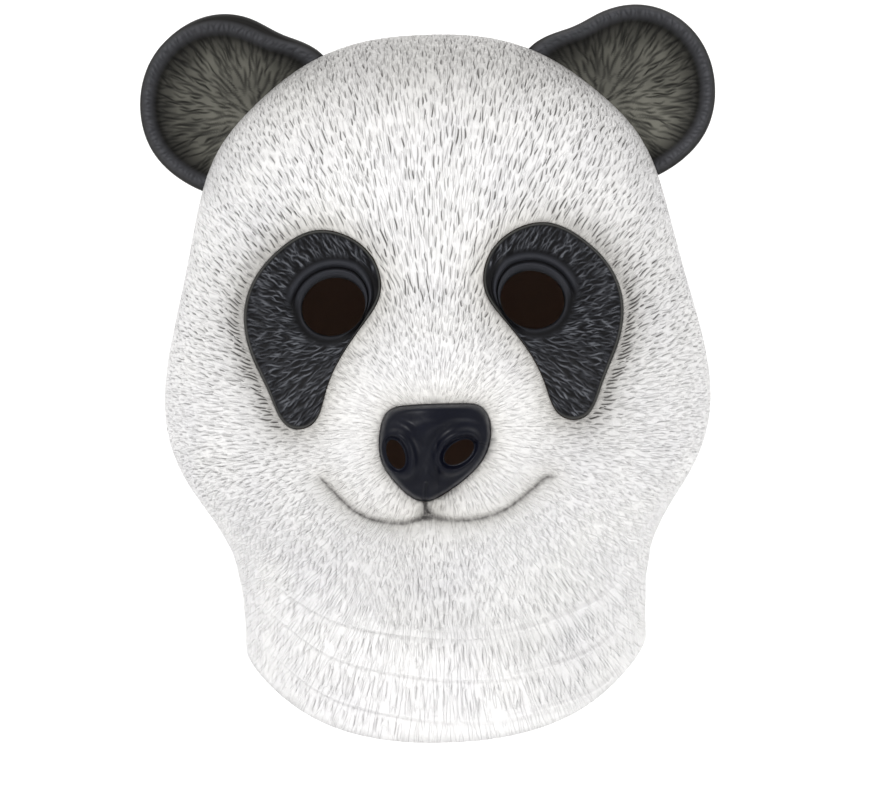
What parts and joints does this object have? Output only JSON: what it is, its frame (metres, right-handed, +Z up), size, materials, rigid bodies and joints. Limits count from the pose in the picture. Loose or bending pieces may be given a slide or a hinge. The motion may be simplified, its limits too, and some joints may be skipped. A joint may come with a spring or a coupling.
{
  "type": "panda mask",
  "caption": "Full-head overhead panda mask in moulded latex rubber, hollow, with cupped ears, dark eye patches cut through at the eyes, a nose with open nostrils and an open neck.",
  "frame": {"origin": "the seat inside the crown, where the top of a head carries the mask", "axes": "+Z up along the head, -Y the way the face looks, +X to the right of a viewer in front of it, which is the wearer's left"},
  "size_m": [0.2732, 0.289, 0.3357],
  "materials": {
    "skin_white": "matt painted latex skin with engraved fur strokes under a grey wash",
    "ear_charcoal": "dark charcoal painted latex with engraved fur strokes",
    "patch_black": "black painted latex with a soft sheen on its relief",
    "nose_black": "satin blue-black painted latex"
  },
  "bodies": {
    "root": {"head_skin": "skin_white", "ear_left": "ear_charcoal", "ear_right": "ear_charcoal", "eye_patch_left": "patch_black", "eye_patch_right": "patch_black", "nose": "nose_black"}
  },
  "joints": []
}
